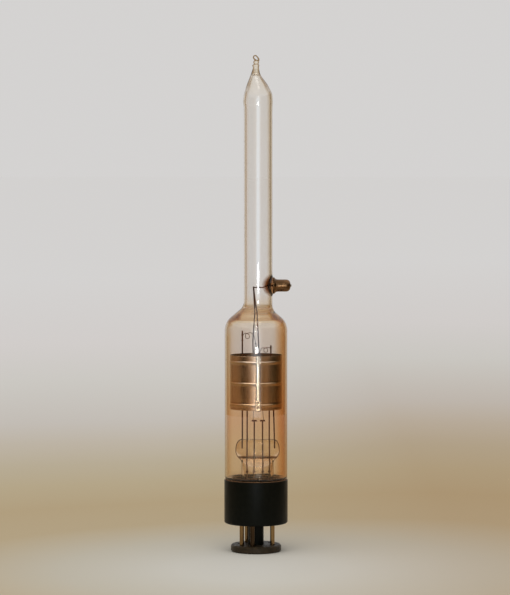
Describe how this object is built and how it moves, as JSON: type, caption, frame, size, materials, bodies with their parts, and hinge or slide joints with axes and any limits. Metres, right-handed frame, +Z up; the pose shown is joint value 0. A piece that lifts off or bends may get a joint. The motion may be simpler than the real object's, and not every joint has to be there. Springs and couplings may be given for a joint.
{
  "type": "vacuum tube",
  "caption": "Tall glass triode gauge tube with a ribbed metal collector cylinder, sealed-off glass neck, side cap and keyed pin base in a slide-on pin guard.",
  "frame": {"origin": "middle of the pin guard's flat underside, on the bulb's axis", "axes": "+Z up along the bulb towards the sealed tip, +X towards the side cap, -Y towards the collector's seam"},
  "size_m": [0.0349, 0.033, 0.2578],
  "materials": {
    "bulb_glass": "clear, slightly warm, polished",
    "stem_glass": "clear lead glass with an amber cast",
    "black_moulding": "black phenolic moulding, polished",
    "guard_moulding": "dark brown phenolic, dull",
    "basing_cement": "baked brown basing cement",
    "cap_metal": "tarnished plated brass",
    "pin_metal": "plated brass tube, bright",
    "solder": "dull tin-lead solder",
    "nickel_sheet": "satin rolled nickel sheet",
    "nickel_rod": "drawn nickel rod, satin",
    "fine_wire": "drawn molybdenum wire",
    "filament_wire": "drawn tungsten wire, dark",
    "seal_wire": "copper-clad sealing wire, oxidised",
    "copper_wire": "bare copper wire, tarnished"
  },
  "bodies": {
    "tube": {"base_cement": "basing_cement", "base_shell": "black_moulding", "cap_cement": "basing_cement", "cap_solder": "solder", "collector": "nickel_sheet", "collector_leg_front": "nickel_rod", "collector_leg_rear": "nickel_rod", "collector_tabs": "nickel_sheet", "filament": "filament_wire", "filament_clips": "nickel_rod", "filament_lead_left": "nickel_rod", "filament_lead_right": "nickel_rod", "filament_spring": "fine_wire", "glass_bulb": "bulb_glass", "glass_stem": "stem_glass", "glass_tubulation": "bulb_glass", "grid_helix": "fine_wire", "grid_lead_left": "nickel_rod", "grid_lead_right": "nickel_rod", "grid_rod_left": "nickel_rod", "grid_rod_right": "nickel_rod", "grid_tie": "fine_wire", "pin_2": "pin_metal", "pin_4": "pin_metal", "pin_5": "pin_metal", "pin_7": "pin_metal", "pin_solder": "solder", "press_seal_filament_left": "seal_wire", "press_seal_filament_right": "seal_wire", "press_seal_grid_left": "seal_wire", "press_seal_grid_right": "seal_wire", "side_cap": "cap_metal", "side_lead": "nickel_rod", "support_rod_long": "nickel_rod", "support_rod_short": "nickel_rod", "tail_pin_2": "copper_wire", "tail_pin_4": "copper_wire", "tail_pin_5": "copper_wire", "tail_pin_7": "copper_wire"},
    "guard": {"pin_guard": "guard_moulding"}
  },
  "joints": [
    {"name": "guard_slide", "type": "slide", "parent": "tube", "child": "guard", "axis": [0, 0, -1], "range_m": [0, 0.02]}
  ]
}
